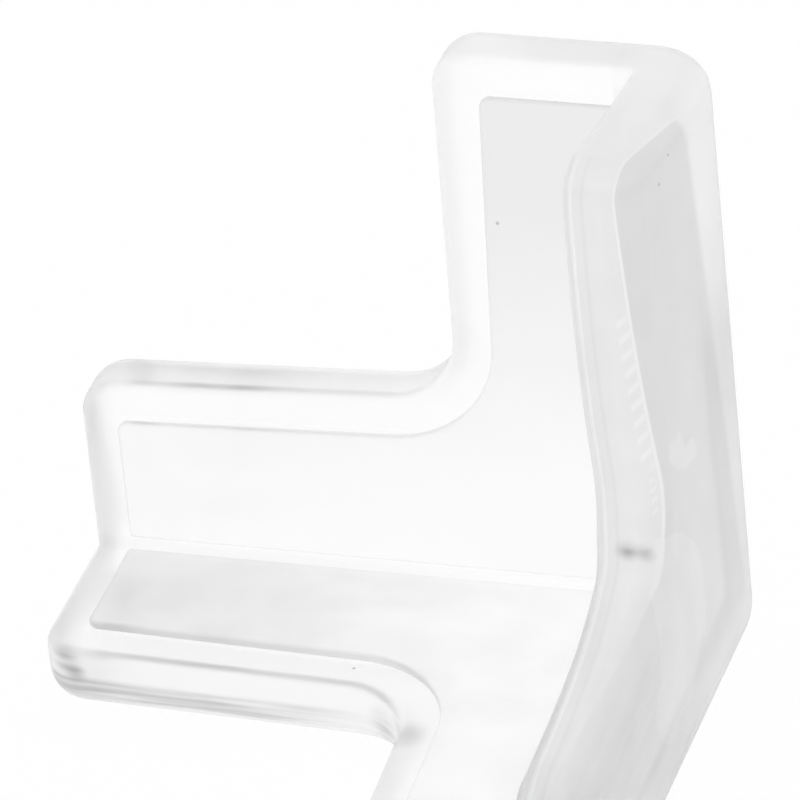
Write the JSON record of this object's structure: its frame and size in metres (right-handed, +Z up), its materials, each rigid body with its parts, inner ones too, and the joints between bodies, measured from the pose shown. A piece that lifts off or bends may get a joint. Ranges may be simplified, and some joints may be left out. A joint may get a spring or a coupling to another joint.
{
  "type": "furniture corner protector",
  "caption": "Clear soft three-sided protector for a furniture corner, with L-shaped walls, rounded edges and thin clear adhesive pads on the inner faces.",
  "frame": {"origin": "centre of the bounding box in plan, at the underside of the base wall", "axes": "+Z up along the up arm, out of the base wall's inner face; -X along the left arm; -Y along the front arm, out of the back wall's inner face"},
  "size_m": [0.0572, 0.0552, 0.0552],
  "materials": {
    "clear_soft_plastic": "clear soft moulded plastic, glossy, with a faint haze",
    "clear_adhesive": "clear adhesive film with a few trapped air marks"
  },
  "bodies": {
    "root": {"corner_body": "clear_soft_plastic", "side_pad": "clear_adhesive", "back_pad": "clear_adhesive", "base_pad": "clear_adhesive"}
  },
  "joints": []
}
